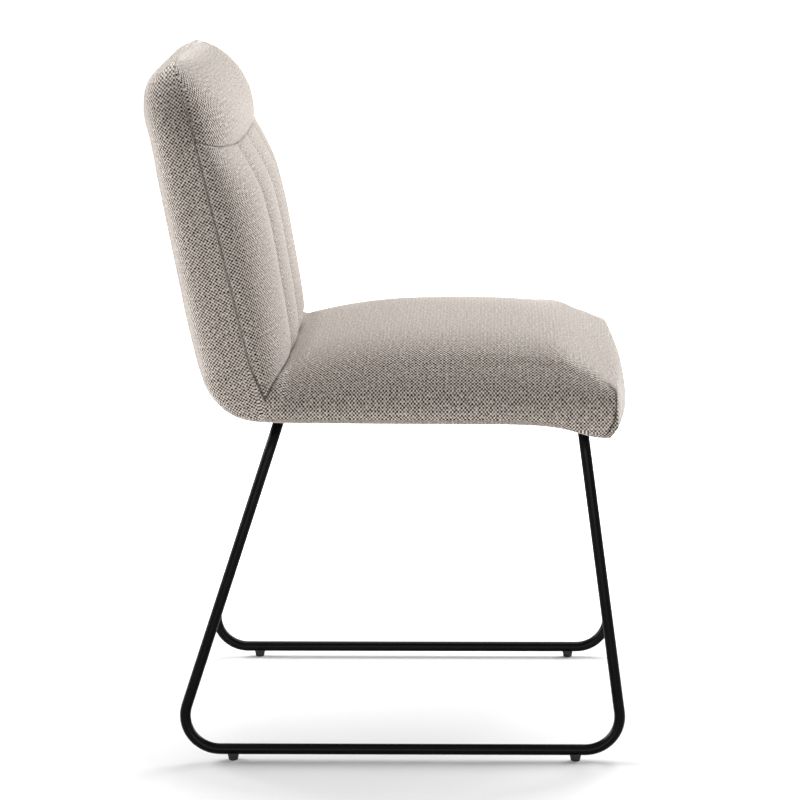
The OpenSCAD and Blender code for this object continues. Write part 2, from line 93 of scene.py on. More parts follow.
# Satin black powder coat: near-black, with a fine orange peel, 1.2 mm across,
# that breaks up its highlights into soft streaks along the bar.
powder, tree = new_finish("satin_black_powder_coat")
place = add(tree, "TexCoord").outputs["Object"]
mottle = add(tree, "TexNoise", {"Vector": place}, {"Scale": 60.0, "Detail": 3.0})
black = add(tree, "ValToRGB", {"Fac": mottle.outputs["Fac"]},
            stops=[(0.3, "#050506"), (0.7, "#09090a")])
rough = add(tree, "MapRange", {"Value": mottle.outputs["Fac"]},
            {"To Min": 0.26, "To Max": 0.36})
peel = add(tree, "TexNoise", {"Vector": place}, {"Scale": 830.0, "Detail": 2.0})
bump = add(tree, "Bump", {"Height": peel.outputs["Fac"]},
           {"Strength": 0.25, "Distance": 0.0001})
shader = add(tree, "BsdfPrincipled",
             {"Base Color": black, "Roughness": rough, "Normal": bump},
             {"Specular IOR Level": 0.07})
add(tree, "OutputMaterial", {"Surface": shader})
coat(powder, "right_sled", "left_sled", "front_crossbar", "rear_crossbar",
     "front_tabs", "rear_tabs")


# Glides: turned feet of black nylon that cup the rails, whose stems are pushed
# into holes drilled in them.

# Matt turned nylon: a grain 0.6 mm across keeps any highlight off the feet.
nylon, tree = new_finish("black_nylon")
place = add(tree, "TexCoord").outputs["Object"]
grain = add(tree, "TexNoise", {"Vector": place}, {"Scale": 1600.0, "Detail": 2.0})
black = add(tree, "ValToRGB", {"Fac": grain.outputs["Fac"]},
            stops=[(0.35, "#131314"), (0.7, "#1b1b1c")])
bump = add(tree, "Bump", {"Height": grain.outputs["Fac"]},
           {"Strength": 0.3, "Distance": 0.00008})
shader = add(tree, "BsdfPrincipled", {"Base Color": black, "Normal": bump},
             {"Roughness": 0.6})
add(tree, "OutputMaterial", {"Surface": shader})
coat(nylon, "right_front_glide", "left_front_glide", "right_rear_glide",
     "left_rear_glide")


# Hardware: zinc-plated M6 button-head bolts, washers and T-nuts that clamp the
# board to the tabs, the saddles that screw the hoop down on the board, and the
# wire staples that hold the dust cover.

# Bright zinc plate: grey, with a faint cloudiness 5 mm across.
zinc, tree = new_finish("zinc_plate")
place = add(tree, "TexCoord").outputs["Object"]
cloud = add(tree, "TexNoise", {"Vector": place}, {"Scale": 200.0, "Detail": 4.0})
grey = add(tree, "ValToRGB", {"Fac": cloud.outputs["Fac"]},
           stops=[(0.3, "#9a9da3"), (0.7, "#b7bac0")])
rough = add(tree, "MapRange", {"Value": cloud.outputs["Fac"]},
            {"To Min": 0.28, "To Max": 0.45})
shader = add(tree, "BsdfPrincipled", {"Base Color": grey, "Roughness": rough},
             {"Metallic": 1.0})
add(tree, "OutputMaterial", {"Surface": shader})
coat(zinc, "seat_bolts", "bolt_washers", "t_nuts", "cover_staples", "tube_saddles",
     "saddle_screws")


# Dust cover: thin black non-woven cloth, stapled under the board over the
# turned-in edge of the seat cover.

# Non-woven polypropylene: matted black fibre, pressed darker at the points where
# heat bonded it, one every 3 mm.
non_woven, tree = new_finish("black_non_woven")
place = add(tree, "TexCoord").outputs["Object"]
bond = add(tree, "TexVoronoi", {"Vector": place}, {"Scale": 330.0, "Randomness": 0.15})
fibre = add(tree, "TexNoise", {"Vector": place}, {"Scale": 900.0, "Detail": 4.0})
matted = add(tree, "Math", {0: bond.outputs["Distance"], 1: fibre.outputs["Fac"]},
             operation="MULTIPLY")
black = add(tree, "ValToRGB", {"Fac": matted},
            stops=[(0.05, "#0f0f10"), (0.4, "#262628")])
bump = add(tree, "Bump", {"Height": matted}, {"Strength": 0.5, "Distance": 0.0003})
shader = add(tree, "BsdfPrincipled", {"Base Color": black, "Normal": bump},
             {"Roughness": 0.95})
add(tree, "OutputMaterial", {"Surface": shader})
coat(non_woven, "dust_cover")


# Seat board: 12 mm birch plywood with round corners, drilled for the T-nuts and
# bolted down on the tabs.

# Raw birch: pale brown, with long grain along the board and thin plies, 3 mm
# each, that line its edge.
birch, tree = new_finish("raw_birch_plywood")
place = add(tree, "TexCoord").outputs["Object"]
stretch = add(tree, "Mapping", {"Vector": place}, {"Scale": (14.0, 2.2, 60.0)})
grain = add(tree, "TexNoise", {"Vector": stretch},
            {"Scale": 9.0, "Detail": 5.0, "Distortion": 0.6})
plies = add(tree, "TexWave", {"Vector": place}, {"Scale": 105.0}, bands_direction="Z")
figure = add(tree, "Math", {0: grain.outputs["Fac"], 1: plies.outputs["Fac"]},
             operation="MULTIPLY")
brown = add(tree, "ValToRGB", {"Fac": figure},
            stops=[(0.05, "#b98f5a"), (0.6, "#dcbc8a")])
shader = add(tree, "BsdfPrincipled", {"Base Color": brown}, {"Roughness": 0.7})
add(tree, "OutputMaterial", {"Surface": shader})
coat(birch, "seat_board")


# Back hoop and rail: bent steel tube, 16 mm and 14 mm, welded and primed. The
# hoop stands up inside the back and runs on along the board under its saddles.

# Sprayed primer: flat grey, a little uneven.
primer, tree = new_finish("grey_primer")
place = add(tree, "TexCoord").outputs["Object"]
spray = add(tree, "TexNoise", {"Vector": place}, {"Scale": 90.0, "Detail": 4.0})
grey = add(tree, "ValToRGB", {"Fac": spray.outputs["Fac"]},
           stops=[(0.3, "#565b62"), (0.7, "#656b72")])
shader = add(tree, "BsdfPrincipled", {"Base Color": grey}, {"Roughness": 0.75})
add(tree, "OutputMaterial", {"Surface": shader})
coat(primer, "back_hoop", "hoop_rail")


# Webbing: four elastic bands, 45 mm wide, woven of black and grey yarn over
# rubber cores, and pulled tight across the hoop.

# Elastic webbing: dull ribs, 2 mm apart, along the band.
elastic, tree = new_finish("elastic_webbing")
place = add(tree, "TexCoord").outputs["Object"]
ribs = add(tree, "TexWave", {"Vector": place}, {"Scale": 160.0, "Distortion": 0.3},
           bands_direction="Z")
grey = add(tree, "ValToRGB", {"Fac": ribs.outputs["Fac"]},
           stops=[(0.2, "#23262a"), (0.8, "#3c4148")])
shader = add(tree, "BsdfPrincipled", {"Base Color": grey}, {"Roughness": 0.9})
add(tree, "OutputMaterial", {"Surface": shader})
coat(elastic, "webbing_1", "webbing_2", "webbing_3", "webbing_4")


# Seat cushion: cut foam on the board under one woven cover, which is drawn
# over the front roll, darted at the two front corners and stapled underneath.
# Side-view places are (forward, up) in mm.

pad_z = 402.5  # underside of the pads at the board
seat_thick = 86.0  # height of the crown above it
nose_drop = 16.0  # how far the nose hangs below it
crevice = -112.95  # where the seat meets the inner back
nose = 277.05  # front end of the seat
seat_half_w = 237.0
least_half_w = 227.6  # at the back, whose side it continues
taper = 0.035  # share of the width lost towards the back
taper_from = nose - 150
nose_crown = 15.5  # how much farther forward the nose is in the middle
side_foot = 8  # height of the seam between side and underside
weave_across, weave_along = 4.43, 4.06  # from one basket of yarns to the next

EDGE, MIDDLE = 22, 30  # points round the edge of a half section, and over its middle
MIDDLE_SHARE = 0.66  # share of the half width that the middle's points cover
SEAM_ROLL = 14  # how close to its seam a cover starts to roll in
EDGE_SLOPE = 0.6  # slope at which a side turns into a face
EDGE_HELD = 25  # mm beside a seam over which the foam comes to push the cover out
BACKING = 7  # mm that the weave of a hidden face is moved along


def rows_between(rows, extra):
    """Rows of numbers blended smoothly, with extra rows between the given ones."""
    rows = [np.array(r, float) for r in rows]
    last = len(rows) - 1
    out = []
    for i in range(last):
        a, b = rows[max(0, i - 1)], rows[i]
        c, d = rows[i + 1], rows[min(last, i + 2)]
        for k in range(extra + 1):
            t = k / (extra + 1)
            out.append(0.5 * (2 * b + (c - a) * t + (2 * a - 5 * b + 4 * c - d) * t * t
                              + (3 * b - a - 3 * c + d) * t ** 3))
    out.append(rows[last])
    return out


def smoothstep(x, low, high):
    """0 at low and 1 at high, with a soft start and end."""
    t = np.clip((x - low) / (high - low), 0, 1)
    return t * t * (3 - 2 * t)


def lengths_along(line):
    """How far along a line each of its points lies."""
    steps = np.linalg.norm(np.diff(line, axis=0), axis=1)
    return np.concatenate([[0], np.cumsum(steps)])


def half_ring(a, b, half, square, flat, pinch, dent, bow):
    """Half a section from its seam at a to its middle at b, as (x, forward, up).

    square and flat are the powers of its round form, pinch is how far its seam is drawn
    in, dent gives the depth of stitched seams at x, and bow brings its sides back.
    """
    t = np.linspace(0, math.pi / 2, 500)
    full = np.sin(t) ** (2 / flat)
    x = (half - pinch * (1 - full) ** SEAM_ROLL) * np.cos(t) ** (2 / square)
    even_from = 460  # from this point on, steps in x are evener than steps of t
    fine = np.linspace(x[even_from], 0, 200)[1:]
    tail = (1 - (fine / half) ** square) ** (1 / flat)
    x = np.concatenate([x[:even_from + 1], fine])
    full = np.concatenate([full[:even_from + 1], tail])
    if dent:
        full = full - dent(x) / math.hypot(b[0] - a[0], b[1] - a[1])
    forward = a[0] + (b[0] - a[0]) * full - bow * (x / half) ** 2.5
    return np.stack([x, forward, a[1] + (b[1] - a[1]) * full], 1)


def spread(line, half):
    """Points along a half section: even steps round its edge, then even steps in x."""
    arc = lengths_along(line)
    middle_x = MIDDLE_SHARE * half
    turn = np.interp(-middle_x, -line[:, 0], arc)
    at = np.concatenate([
        np.linspace(0, turn, EDGE, endpoint=False),
        np.interp(-np.linspace(middle_x, 0, MIDDLE + 1), -line[:, 0], arc),
    ])
    return np.stack([np.interp(at, arc, line[:, k]) for k in range(3)], 1), at


def weave_over(pts, at, chart, across, along):
    """The weave's place, across and along, at the points of a half section.

    On the side it is the chart's. From the edge on it follows the cloth over the face,
    and comes to across and along in the middle.
    """
    slope = np.abs(np.gradient(pts[:, 0]) / np.maximum(np.gradient(at), 1e-6))
    i = int(np.argmax(slope > EDGE_SLOPE))
    edge = at[0]
    if i:
        edge = np.interp(EDGE_SLOPE, slope[i - 1:i + 1], at[i - 1:i + 1])
    side_u, side_v = chart(pts[:, 1:])
    edge_u, edge_v = np.interp(edge, at, side_u), np.interp(edge, at, side_v)
    over = np.clip((at - edge) / (at[-1] - edge), 0, 1)
    u = np.where(over > 0, edge_u + at - edge, side_u)
    v = np.where(over > 0, edge_v, side_v)
    return u + (across - u[-1]) * over, v + (along - v[-1]) * over


def sewn_pad(name, sections, square, flat, pinch, chart, level, hidden, ease, pinned=None):
    """A closed cover through sections of (a, b, half, bow, dent), each a half_ring.

    square, flat and pinch are the half_ring's. The first two may be one per section.
    chart turns side-view points into the weave's place on the flat side panels.
    level is the section from which the weave is counted along the middle.
    hidden gives the points of a section's hidden face, and their weave or None.
    ease is how far from its two ends the cover stays close to the form drawn here.
    pinned gives how firmly a section's points are held, from 0 to 1.
    """
    halves = []
    squares, flats = (np.broadcast_to(v, len(sections)) for v in (square, flat))
    for (a, b, half, bow, dent), sq, fl in zip(sections, squares, flats):
        halves.append(spread(half_ring(a, b, half, sq, fl, pinch, dent, bow), half))
    middle = np.array([pts[-1, 1:] for pts, _ in halves])
    path = lengths_along(middle)
    start = chart(middle[level:level + 1])[1][0]
    follow = chart(middle[level + 1:level + 2])[1][0]
    path = start + (path - path[level]) * (1 if follow > start else -1)
    total = halves[level][1][-1]
    eased = (smoothstep(np.abs(path - path[0]), 0, ease[0])
             * smoothstep(np.abs(path - path[-1]), 0, ease[1]))

    width = 2 * (EDGE + MIDDLE) + 1
    loops, weave, held, free = [], [], [], []
    for k, (pts, at) in enumerate(halves):
        u, v = weave_over(pts, at, chart, total, path[k])
        face = np.concatenate([pts * [-1, 1, 1], pts[-2::-1]])
        face_w = np.concatenate([np.stack([u - total, v], 1),
                                 np.stack([total - u, v], 1)[-2::-1]])
        under, under_w = hidden(k, pts, sections[k][2])
        under = np.concatenate([under * [-1, 1, 1], under[-2::-1]])
        if under_w is None:
            under_w = face_w + [0, BACKING]
        else:
            under_w = np.concatenate([under_w - [total, 0],
                                      (under_w * [-1, 1] + [total, 0])[-2::-1]])
        loops.append(np.concatenate([face, under[1:-1][::-1]]))
        weave.append(np.concatenate([face_w, under_w[1:-1][::-1]]))
        loose = smoothstep(at, 0, EDGE_HELD) * eased[k]
        free.append(np.concatenate([loose, loose[-2::-1], np.zeros(width - 2)]))
        hold = np.zeros(len(loops[-1]))
        hold[0] = 1
        hold[width - 1:] = 1
        if pinned:
            hold[:width] = np.maximum(hold[:width], pinned(face))
        if k in (0, 1, len(sections) - 1):
            hold[:] = 1
        held.append(hold)

    count = len(loops[0])
    faces = [(k * count + i, k * count + (i + 1) % count,
              (k + 1) * count + (i + 1) % count, (k + 1) * count + i)
             for k in range(len(loops) - 1) for i in range(count)]
    for base in (0, (len(loops) - 1) * count):
        for i in range(width - 1):
            opposite = [base + count - j for j in (i + 1, i) if 0 < j < width - 1]
            faces.append((base + i, base + i + 1, *opposite))
    verts = np.concatenate(loops)
    mesh = bpy.data.meshes.new(name)
    mesh.from_pydata(np.stack([verts[:, 0], -verts[:, 1], verts[:, 2]], 1) / 1000, [], faces)
    layer = mesh.attributes.new("weave", "FLOAT_VECTOR", "POINT")
    flat_weave = np.concatenate([np.concatenate(weave), np.zeros((len(verts), 1))], 1)
    layer.data.foreach_set("vector", flat_weave.ravel())
    layer = mesh.attributes.new("free", "FLOAT", "POINT")
    layer.data.foreach_set("value", np.concatenate(free))
    mesh.update()
    obj = bpy.data.objects.new(name, mesh)
    bpy.context.scene.collection.objects.link(obj)
    work = bmesh.new()
    work.from_mesh(mesh)
    bmesh.ops.recalc_face_normals(work, faces=work.faces)
    work.to_mesh(mesh)
    work.free()
    mesh.shade_smooth()
    obj["grid"] = [len(loops), count]
    group = obj.vertex_groups.new(name="sewn")
    for i, weight in enumerate(np.concatenate(held)):
        if weight > 0:
            group.add([i], float(weight), "REPLACE")
    return obj


# The seat from its rear end to its front end: the forward place and the drop of
# its underside, then the forward place and the height of its top, in mm from the
# crevice or the nose and in shares of nose_drop and seat_thick.
rear = [(-33, -.5, -41, .39), (-27, -.25, -35, .415), (-21, 0, -27, .455),
        (-19, 0, -18, .545), (-15, 0, -9, .635), (-9, 0, 0, .7), (2, 0, 11, .75),
        (20, 0, 28, .8), (46, 0, 52, .863), (84, 0, 88, .927), (128, 0, 130, .967)]
front = [(-196, 0, -196, .977), (-142, .02, -146, .964), (-104, .12, -110, .932),
         (-78, .34, -78, .866), (-56, .72, -53, .71), (-41, .95, -34, .585),
         (-29, 1, -20, .515), (-20, .94, -11, .435), (-12, .78, -4.5, .32),
         (-7, .58, -1.5, .17), (-3, .28, -.3, .03)]
seat_rows = rows_between(
    [(start + r[0], pad_z - nose_drop * r[1], start + r[2], pad_z + seat_thick * r[3])
     for start, rows in ((crevice, rear), (nose, front)) for r in rows], 4)
seat_sections = []
for r in seat_rows:
    c, b = np.array(r[:2]), np.array(r[2:])
    a = c + (b - c) * min(side_foot / np.linalg.norm(b - c), 0.35)
    half = max(least_half_w, seat_half_w * (1 - taper * (
        max(0, taper_from - r[2]) / (taper_from - crevice)) ** 2))
    seat_sections.append((a, b, half, max(0, nose_crown + r[2] - nose), None))


def seat_under(k, pts, half):
    """The underside: a rim round the recess for the bars, the board and the hoop."""
    a, _, _, bow, _ = seat_sections[k]
    c = seat_rows[k][:2]
    out, at = spread(half_ring(a, c, half, 13, 2.8, 1.5, None, bow), half)
    recess_half, recess_from, recess_to = 213.6, -132.6, 231.0
    board_half, board_from, board_to = 196, -110, 218
    hoop_in, hoop_to = 144, 51.2
    above_bars, above_board, above_hoop = 408.4, 422.4, 440.0
    if recess_from < c[0] < recess_to:
        inner = int(np.argmax(out[:, 0] < recess_half))
        out[inner, 0], out[inner + 1, 0] = recess_half, recess_half - 0.3
        x = out[inner + 1:, 0]
        on_board = (x < board_half) & (board_from < c[0]) & (c[0] < board_to)
        roof = np.where(on_board, above_board, above_bars)
        if c[0] < hoop_to:
            roof = np.where((x > hoop_in) & (x < board_half), above_hoop, roof)
        out[inner + 1:, 2] = roof
    return out, np.stack([-at, out[:, 1]], 1)


def seat_chart(p):
    """The weave on the seat's sides runs level, and is counted up from its foot."""
    return p[:, 1] - pad_z, p[:, 0]


# A soft arch over the seat, squarer at the nose, squarer still at the darts, and
# squarest where the seat runs in under the back.
top_at = np.array([r[2] for r in seat_rows])
at_rear = 1 - smoothstep(top_at, crevice - 30, crevice + 5)
at_nose = smoothstep(top_at, nose - 120, nose - 50)
at_dart = smoothstep(top_at, nose - 60, nose - 20)
seat = sewn_pad("seat_cushion_cover", seat_sections,
                4 + 24 * at_rear + 2 * at_nose + 8 * at_dart,
                2 + 2.5 * at_rear + 0.5 * at_nose + 1.5 * at_dart,
                1.5, seat_chart, 60, seat_under, (30, 110))

# Chunky weave: pale and mid greige yarns in a staggered basket, open enough to
# show dark gaps between the yarns, with a soft nap that pales edge on. Its place
# is in mm, so 0.15 is a noise over 7 mm.
greige, tree = new_finish("greige_weave")
place = add(tree, "Attribute", attribute_name="weave").outputs["Vector"]
part = add(tree, "SeparateXYZ", {0: place})
wobble = add(tree, "TexNoise", {"Vector": place}, {"Scale": 0.15, "Detail": 3.0})
drift = add(tree, "MapRange", {"Value": wobble.outputs["Fac"]},
            {"To Min": -1.0, "To Max": 1.0})
# The gaps between the yarns lie where both waves are high, and again halfway
# between, a little shallower.
near, between = [], []
for axis, pitch in ((0, weave_across), (1, weave_along)):
    moved = add(tree, "Math", {0: part.outputs[axis], 1: drift}, operation="ADD")
    turn = add(tree, "Math", {0: moved}, {1: 2 * math.pi / pitch}, operation="MULTIPLY")
    wave = add(tree, "Math", {0: turn}, operation="COSINE")
    near.append(add(tree, "Math", {0: wave}, {1: 0.5, 2: 0.5}, operation="MULTIPLY_ADD"))
    between.append(add(tree, "Math", {0: wave}, {1: -0.5, 2: 0.5},
                       operation="MULTIPLY_ADD"))
holes = add(tree, "Math", {0: near[0], 1: near[1]}, operation="MULTIPLY")
pits = add(tree, "Math", {0: between[0], 1: between[1]}, operation="MULTIPLY")
gaps = add(tree, "Math", {0: pits, 2: holes}, {1: 0.8}, operation="MULTIPLY_ADD")
# Some places are woven looser than others, over about 3 mm.
loose = add(tree, "TexNoise", {"Vector": place}, {"Scale": 0.3, "Detail": 3.0})
openness = add(tree, "MapRange", {"Value": loose.outputs["Fac"]},
               {"From Min": 0.3, "From Max": 0.7, "To Min": 0.45, "To Max": 1.25})
gap = add(tree, "Math", {0: gaps, 1: openness}, operation="MULTIPLY")
fibre = add(tree, "TexNoise", {"Vector": place}, {"Scale": 1.0, "Detail": 4.0})
fuzz = add(tree, "MapRange", {"Value": fibre.outputs["Fac"]},
           {"To Min": -0.22, "To Max": 0.22})
depth = add(tree, "Math", {0: gap, 1: fuzz}, operation="ADD")
yarn = add(tree, "ValToRGB", {"Fac": depth},
           stops=[(0.0, "#ebe4de"), (0.22, "#c6bcb3"), (0.48, "#7a6d64"),
                  (0.68, "#17110d")])
# Painted shade at the seams: where the cloth turns down at a seam, its shadow is painted into
# the colour. The attribute read here holds the distance from the seam in mm, and how dark the
# painted shade is.
painted_seam_shade = add(tree, "Attribute", attribute_name="painted_seam_shade").outputs["Vector"]
seam_part = add(tree, "SeparateXYZ", {0: painted_seam_shade})
off = add(tree, "Math", {0: seam_part}, operation="ABSOLUTE")
beside_seam = add(tree, "MapRange", {"Value": off},
                  {"From Min": 0.3, "From Max": 1.8, "To Min": 0.8, "To Max": 0.0})
dark = add(tree, "Math", {0: beside_seam, 1: seam_part.outputs[1]},
           operation="MULTIPLY")
shade = add(tree, "Math", {1: dark}, {0: 1.0}, operation="SUBTRACT")
colour = add(tree, "VectorMath", {0: yarn, 1: shade}, operation="MULTIPLY")
bump = add(tree, "Bump", {"Height": gap}, {"Strength": 0.7, "Distance": 0.0006},
           invert=True)
shader = add(tree, "BsdfPrincipled", {"Base Color": colour, "Normal": bump},
             {"Roughness": 0.95, "Specular IOR Level": 0.15, "Sheen Weight": 0.7,
              "Sheen Roughness": 0.35, "Sheen Tint": srgb("#f4efea")})
add(tree, "OutputMaterial", {"Surface": shader})


def upholster(obj, node):
    """Dresses a cover in the weave, as the pad that stands for a soft CAD solid."""
    obj.data.materials.append(greige)
    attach(obj, "root")
    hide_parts(node)


upholster(seat, "seat_cushion")


# Back shell: the rear pad in one pull of cloth over the hoop, from the side
# seams round the back and under the foot to the seat board. On the raked back,
# r is mm up along it from its foot, and n is mm forward from its side seams.

rake = math.radians(12.5)
along = np.array([-math.sin(rake), math.cos(rake)])
ahead = np.array([math.cos(rake), math.sin(rake)])
foot = np.array([-145.452, 435.18])
rise = 380.848
cross_seam = 297.848
back_half_w = 228.0
corner_r = 105.0
head_lean, lean_over = 14, 80  # the top leans back by 14 mm over its last 80 mm
seam_forward, seam_bend = 7.5, 45  # the side seam comes forward over its lowest 45 mm
lap = 1.5  # how far the shell's cover laps over the bolster's at the top
hoop_recess_half, hoop_recess_from, hoop_recess_to = 179, 52, 347


def on_back(r, n):
    """The place on the back at r and n, with the lean of its top."""
    lean = head_lean * (max(0, r - rise + lean_over) / lean_over) ** 1.5
    return foot + along * r + ahead * (n - lean)


def lapped(r):
    """1 at the head, where the covers lap over each other, and 0 below it."""
    return smoothstep(r, rise - 60, rise - 25)


def seam(r, over=0):
    """The side seam of the back, bent forward at its foot, and lapped at the head."""
    return on_back(r, seam_forward * (1 - smoothstep(r, 0, seam_bend)) + over * lapped(r))


def closing(r, span, sharp=2):
    """How full a pad still is at r, where it rounds off over the top span of the back."""
    return math.sqrt(max(0.0001, 1 - (max(0, r - rise + span) / span) ** sharp))


def back_half(r):
    """Half the width of the back at r, with its round upper corners."""
    return back_half_w - corner_r * (
        1 - math.sqrt(max(0, 1 - (max(0, r - rise + corner_r) / corner_r) ** 2)))


def back_chart(p):
    """The weave on the back's sides runs along the rake."""
    q = p - foot
    return np.abs(q @ ahead), q @ along


def hidden_side(rows, recess, over=0):
    """The hidden face of a back pad, let in where the hoop and its bands lie."""
    def face(k, pts, half):
        r = rows[k]
        x = np.concatenate([np.linspace(half - 1.5, MIDDLE_SHARE * half, EDGE,
                                        endpoint=False), pts[EDGE:, 0]])
        inside = (x < hoop_recess_half) & (hoop_recess_from < r < hoop_recess_to)
        q = (on_back(max(r, 0), over * lapped(r))
             + np.where(inside, recess, 0)[:, None] * ahead)
        return np.stack([x, q[:, 0], q[:, 1]], 1), None
    return face


shell_thick, shell_foot_thick = 60, 63
shell_round_over = 78  # the pad rounds off over this much of its top
heel_r, foot_from = 30, 100
rear_recess = -13.2  # how far the shell is let in behind the hoop
# Close together at the top, where the pad rounds off, and then even.
shell_r = [rise - d for d in (0.03, 0.2, 0.6, 1.6, 3, 5, 7.5, 10.5, 14, 18, 22.5, 27.5,
                              33, 38.5)]
shell_r += list(np.linspace(rise - 44, heel_r, 56))
shell_sections = []
for r in shell_r:
    thinner_up = 1.125 - 0.25 * r / rise
    thick = shell_thick * closing(r, shell_round_over, 3.6) * thinner_up
    at_foot = min(1, max(0, (foot_from - r) / (foot_from - heel_r)))
    thick += (shell_foot_thick - thick) * at_foot
    shell_sections.append((seam(r, lap), on_back(r, -thick), back_half(r), 0, None))
# Under the foot it bends forward from heel to last, and ends on the board, with
# its seam drawn in after it.
heel = on_back(heel_r, -64)
corner = np.array([crevice - 81, pad_z + 1])
last = np.array([crevice - 29, pad_z + 0.5])
end = np.array([crevice - 21, pad_z + 1])
heel_steps, end_steps = 22, 4
for k in range(1, heel_steps + 1):
    t = k / heel_steps
    b = heel * (1 - t) ** 2 + corner * 2 * t * (1 - t) + last * t * t
    shell_r.append(heel_r * (1 - t))
    shell_sections.append((seam(shell_r[-1]), b, back_half_w, 0, None))
for k in range(1, end_steps + 1):
    a = seam(0) + (end - seam(0)) * 0.05 * k
    shell_r.append(-k)
    shell_sections.append((a, last + (end - last) * k / end_steps, back_half_w, 0, None))


def shell_hidden(k, pts, half):
    """The shell's hidden face, which closes up on its seam at the board."""
    under, weave = hidden_side(shell_r, rear_recess, lap)(k, pts, half)
    if shell_r[k] < 0:
        under[:, 1:] = shell_sections[k][0]
    return under, weave


near_foot = 1 - smoothstep(np.array(shell_r), -4, 40)
shell = sewn_pad("back_shell_cover", shell_sections, 10 + 14 * near_foot,
                 2.5 + 4.5 * near_foot, 0.6, back_chart, 40, shell_hidden, (90, 30))
upholster(shell, "back_shell")


# Inner back: foam sewn through the woven cover by three upright seams into four
# channels, and joined to the shell along both sides.

fall = 26  # how much lower the cross seam is in front than at its sides
inner_thick = 55
channel_w, channel_dip = 100, 6.5
front_recess = 6.2  # how far the front pads are let in over the hoop
sag = fall / cross_seam
# From foot to cross seam: heights of the side seam and of the front, in shares of
# cross_seam, and the thickness in shares of inner_thick.
inner_rows = rows_between(
    [(-.1, -.05, .3), (-.05, .01, .45), (0, .058, .58), (.03, .08, .71),
     (.075, .113, .8), (.15, .165, .85), (.265, .265, .9), (.4, .4, .945),
     (.53, .53, .985), (.64, .64 - .1 * sag, .99), (.74, .74 - .25 * sag, .97),
     (.83, .83 - .45 * sag, .885), (.905, .905 - .67 * sag, .79),
     (.96, .96 - .85 * sag, .71), (1, 1 - sag, .67)], 4)


def channels(x):
    """Depth of the upright seams below the channels."""
    dip = channel_dip * (1 - np.abs(np.sin(math.pi * x / channel_w)) ** 0.6)
    return np.where(np.abs(x) > 1.5 * channel_w, 0, dip)


def on_channel_seams(face):
    """1 where the cover is sewn down, and 0 elsewhere."""
    x = np.abs(face[:, 0])
    return ((x < 2) | (np.abs(x - channel_w) < 2.4)).astype(float)


inner_r, inner_sections = [], []
for side_up, front_up, thick in reversed(inner_rows):
    inner_r.append(cross_seam * side_up)
    b = on_back(cross_seam * front_up, inner_thick * thick)
    narrowed = min(0, 200 * side_up)  # where it goes down into the crevice
    inner_sections.append((seam(inner_r[-1]), b, back_half_w + narrowed, 0, channels))
inner = sewn_pad("inner_back_cover", inner_sections, 3, 2, 0.6, back_chart, 30,
                 hidden_side(inner_r, front_recess), (30, 30), on_channel_seams)
upholster(inner, "inner_back")


# Head bolster: a fuller roll of foam under its own piece of cover, between the
# cross seam and the top of the shell.

bolster_thick = 42.5
bolster_round_over = 70  # the roll rounds off over this much of its top
fall_over = 60  # how far above the cross seam its fall reaches
# Close together at both ends, where the roll is drawn in to its seams.
bolster_r = [cross_seam + d for d in (0, 1, 2.2, 3.6, 5.2, 7, 9.2, 12, 15.5, 19.5, 24,
                                      28.5)]
bolster_r += [rise - d for d in (48, 43.5, 39, 35, 31, 27.5, 24, 21, 18, 15, 12, 10, 8,
                                 6, 4, 2.6, 1.6, 0.6, 0.2, 0.03)]
bolster_r.reverse()
bolster_sections = []
for r in bolster_r:
    down = fall * max(0, 1 - (r - cross_seam) / fall_over)
    drawn_in = 1 - 0.17 * math.exp((cross_seam - r) / 7)
    thick = bolster_thick * closing(r - down, bolster_round_over) * drawn_in
    bolster_sections.append((seam(r, -lap), on_back(r - down, thick), back_half(r), 0,
                             None))
bolster = sewn_pad("head_bolster_cover", bolster_sections, 3, 2, 0.6, back_chart, 18,
                   hidden_side(bolster_r, front_recess, -lap), (80, 30))
upholster(bolster, "head_bolster")


# Filling and sewing: the foam fills out the four covers, which are held along
# their seams. Then shade is painted along the seams: where two covers meet, the channel
# seams, and the darts that close the seat's front corners with thread.

CAP = 0.0025  # most that the foam moves a cover, in metres
FRAMES = 20
SMOOTHING = 6  # times that each move is blended with those beside it


